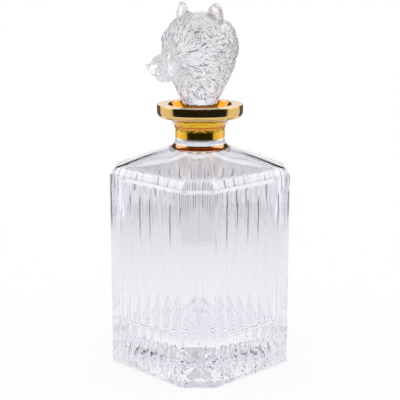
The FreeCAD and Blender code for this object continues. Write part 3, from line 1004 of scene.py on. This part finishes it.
studio = {
    "cameraAzimuth": 46.089, "cameraDistance": 0.719, "cameraHeight": 0.2717, "pitch": 12.762, "lens": 100.3,
    "sensor": 36.0, "clipStart": 0.01,
    "darkHalfAngle": 78.0, "darkSoftness": 6.0, "darkLevel": 0.02,
    "edgeFrom": (12.0, 20.0), "edgeTo": (44.0, 56.0), "edgeLevel": 0.12,
    "bandTurn": (100.0, 112.0), "bandFoot": (-0.34, -0.28), "bandTop": (-0.05, 0.0),
    "insideLight": 1.0, "insideSide": 0.82, "insidePatch": 0.45, "insideBehind": 0.68,
    "insideHigh": (0.05, 0.15), "behindTurn": (14.0, 24.0), "insideTint": (0.94, 0.94, 1.0),
    "sideTurn": (48.0, 80.0), "sideLevel": 0.4,
    "glassLow": 0.8, "glassHigh": 0.8, "glassBehind": 1.0,
    "clearFoot": (-0.165, -0.12), "highFoot": (-0.1, -0.04),
    "stripLevel": 0.45, "stripTurn": 27.0, "stripHalf": 3.0, "stripSoft": 1.0, "stripFoot": (-0.247, -0.213),
    "patchGrain": 14.0, "patchDark": (0.39, 0.43), "patchWhite": (0.58, 0.62), "patchLevel": 0.2,
    "patchCone": (20.0, 8.0), "patchFade": (0.1, 0.45),
    "veeTurn": (3.0, 8.0), "veeRise": (-0.238, -0.207), "veeReach": (0.24, 0.4),
    "veeSoft": 0.6, "veeLevel": 0.84,
    "floorRadius": 0.4, "floorDrop": 0.2, "floorLift": 0.85,
    "floorNear": 0.1, "floorMiddle": 0.94, "floorEdge": 0.78,
    # painted shadow on the floor beneath the base, seen through the glass
    "underShadeReach": (0.035, 0.075), "underShadeLevel": 0.96, "underShadeTint": (0.99, 0.99, 1.0),
}
plainWhite = (1.0, 1.0, 1.0)


def turnFromBehind(tree, direction):
    angle = -math.radians(studio["cameraAzimuth"]) - math.pi / 2  # x away from the camera, y to its left
    around = addNode(tree, "VectorRotate", {"Vector": direction, "Angle": angle}, rotation_type="Z_AXIS")
    parts = splitVector(tree, around.outputs[0])
    turn = mathNode(tree, "ABSOLUTE", mathNode(tree, "ARCTAN2", parts["Y"], parts["X"]))
    return mathNode(tree, "DEGREES", turn), parts["X"], parts["Z"]


def veeShade(tree, turn, half):  # the shade straight behind that the front corner shows
    past = mathNode(tree, "SUBTRACT", turn, half)
    return mapRange(tree, past, -studio["veeSoft"], studio["veeSoft"], studio["veeLevel"], 1.0)


def buildFloor():
    bm = bmesh.new()
    bmesh.ops.create_circle(bm, cap_ends=True, segments=96, radius=studio["floorRadius"])
    bmesh.ops.translate(bm, verts=bm.verts, vec=(0, 0, -studio["floorDrop"] * mm))
    floor = meshObject("floor", bm)
    material, tree, shader = newMaterial("paleFloor")
    setInputs(tree, shader, {"Base Color": (*plainWhite, 1), "Roughness": 1.0, "Specular IOR Level": 0.0})
    path = addNode(tree, "LightPath").outputs
    clear = path["Is Transmission Ray"]
    lifted = product(tree, path["Is Camera Ray"], studio["floorLift"])  # white with a faint shadow
    white = mathNode(tree, "MAXIMUM", lifted, mathNode(tree, "MAXIMUM", path["Is Glossy Ray"], clear))
    place = objectPlace(tree)
    reach = vectorLength(tree, place)
    # painted shade on the floor that the glass sees: darker toward the edge and in a V straight behind
    fall = mapRange(tree, reach, studio["floorNear"], studio["floorRadius"],
                    studio["floorMiddle"], studio["floorEdge"])
    half = mapRange(tree, reach, *studio["veeReach"], -studio["veeSoft"], studio["veeTurn"][0])
    fall = product(tree, fall, veeShade(tree, turnFromBehind(tree, place)[0], half))
    under = product(tree, fadeOut(tree, reach, studio["underShadeReach"]), clear)  # painted shadow beneath the base
    level = mixValue(tree, under, mixValue(tree, clear, 1.0, fall), studio["underShadeLevel"])
    tint = mixColour(tree, under, plainWhite, studio["underShadeTint"])
    glow = addNode(tree, "Emission", {"Strength": level, "Color": tint})
    mixed = addNode(tree, "MixShader", {0: white, 1: shader.outputs[0], 2: glow.outputs[0]})
    tree.links.new(mixed.outputs[0], tree.nodes["Material Output"].inputs["Surface"])
    floor.data.materials.append(material)


def speckle(tree, direction, darkLevel, lightLevel):
    patches = noiseNode(tree, direction, studio["patchGrain"], 1.0)["Fac"]
    dark = mapRange(tree, patches, *studio["patchDark"], darkLevel, lightLevel)
    return mixValue(tree, fadeIn(tree, patches, studio["patchWhite"]), dark, 1.0)


def mirrorLevel(tree, direction, turn, away, up, passed):
    half, soft = studio["darkHalfAngle"], studio["darkSoftness"]
    near, far = [-math.cos(math.radians(half + shift)) for shift in (-soft, soft)]
    bare = mapRange(tree, away, near, far, studio["darkLevel"], 1.0)  # dark around the camera
    edge = product(tree, fadeIn(tree, turn, studio["edgeFrom"]), fadeOut(tree, turn, studio["edgeTo"]))
    bare = mixValue(tree, edge, bare, studio["edgeLevel"])  # shade that outlines show
    band = product(tree, fadeIn(tree, up, studio["bandFoot"]), fadeOut(tree, up, studio["bandTop"]),
                   fadeIn(tree, turn, studio["bandTurn"]))  # level and dark, shows through the glass
    level = mapRange(tree, turn, *studio["sideTurn"], studio["insideLight"], studio["insideSide"])
    level = mixValue(tree, fadeIn(tree, up, studio["stripFoot"]), studio["floorEdge"], level)
    high = speckle(tree, direction, studio["insidePatch"], studio["insideLight"])
    high = mixValue(tree, fadeOut(tree, turn, studio["behindTurn"]), high, studio["insideBehind"])
    inside = mixValue(tree, fadeIn(tree, up, studio["insideHigh"]), level, high)
    return mixValue(tree, passed, bare, mixValue(tree, band, inside, studio["darkLevel"]))


def glassLevel(tree, direction, turn, away, up):
    off = mathNode(tree, "ABSOLUTE", mathNode(tree, "SUBTRACT", turn, studio["stripTurn"]))
    half, soft = studio["stripHalf"], studio["stripSoft"]
    strip = mapRange(tree, off, half - soft, half + soft, studio["stripLevel"], studio["glassLow"])
    low = mixValue(tree, fadeIn(tree, up, studio["stripFoot"]), studio["glassLow"], strip)
    veeHalf = mapRange(tree, up, *studio["veeRise"], *studio["veeTurn"])
    low = product(tree, low, veeShade(tree, turn, veeHalf))
    low = mixValue(tree, fadeIn(tree, up, studio["clearFoot"]), low, 1.0)
    high = speckle(tree, direction, studio["patchLevel"], studio["glassHigh"])
    high = mixValue(tree, fadeIn(tree, up, studio["patchFade"]), high, studio["glassBehind"])
    cone = [math.cos(math.radians(angle)) for angle in studio["patchCone"]]
    high = mixValue(tree, fadeIn(tree, away, cone), high, studio["glassBehind"])
    high = mixValue(tree, fadeIn(tree, turn, studio["sideTurn"]), high, studio["sideLevel"])
    return mixValue(tree, fadeIn(tree, up, studio["highFoot"]), low, high)


def buildWorld():
    world = bpy.data.worlds.new("studio")
    scene.world = world
    world.use_nodes = True
    tree = world.node_tree
    direction = addNode(tree, "TexCoord").outputs["Generated"]
    path = addNode(tree, "LightPath").outputs
    reflected = mathNode(tree, "MINIMUM", path["Glossy Depth"], 1.0)
    passed = mathNode(tree, "MINIMUM", path["Transmission Depth"], 1.0)
    turn, away, up = turnFromBehind(tree, direction)
    clear = glassLevel(tree, direction, turn, away, up)
    mirrored = mirrorLevel(tree, direction, turn, away, up, passed)
    through = mixValue(tree, reflected, clear, mirrored)
    seen = mathNode(tree, "MAXIMUM", path["Is Glossy Ray"], path["Is Transmission Ray"])
    inside = product(tree, reflected, passed)
    level = mixValue(tree, seen, 1.0, through)  # plain white but for what metal and glass show
    tint = mixColour(tree, inside, plainWhite, studio["insideTint"])
    setInputs(tree, tree.nodes["Background"], {"Strength": level, "Color": tint})


lamps = {"reach": 0.8, "size": (0.9, 0.45), "power": 3.0, "aim": (0, 0, 0.13),
         "sides": ((-0.70, -0.40, 0.59), (0.41, 0.68, 0.61))}


def buildLamps():
    for side, toward in enumerate(lamps["sides"]):  # each shows in the bevel of one visible face
        data = bpy.data.lights.new("softbox%d" % side, "AREA")
        data.shape = "RECTANGLE"
        data.size, data.size_y = lamps["size"]
        data.energy = lamps["power"]
        lamp = bpy.data.objects.new("softbox%d" % side, data)
        scene.collection.objects.link(lamp)
        direction = Vector(toward).normalized()
        lamp.location = Vector(lamps["aim"]) + direction * lamps["reach"]
        lamp.rotation_euler = direction.to_track_quat("Z", "Y").to_euler()
        lamp.visible_diffuse = False
        lamp.visible_transmission = False


def buildCamera():
    camera = bpy.data.objects.new("camera", bpy.data.cameras.new("camera"))
    scene.collection.objects.link(camera)
    azimuth = math.radians(studio["cameraAzimuth"])
    reach = studio["cameraDistance"]
    camera.location = (math.sin(azimuth) * reach, -math.cos(azimuth) * reach, studio["cameraHeight"])
    camera.rotation_euler = (math.radians(90 - studio["pitch"]), 0, azimuth)
    camera.data.lens = studio["lens"]
    camera.data.sensor_width = studio["sensor"]
    camera.data.clip_start = studio["clipStart"]
    scene.camera = camera


buildFloor()
buildWorld()
buildLamps()
buildCamera()
scene.view_settings.view_transform = "Standard"
scene.cycles.max_bounces = 24
scene.cycles.transmission_bounces = 24
scene.cycles.glossy_bounces = 12
print("studio made")
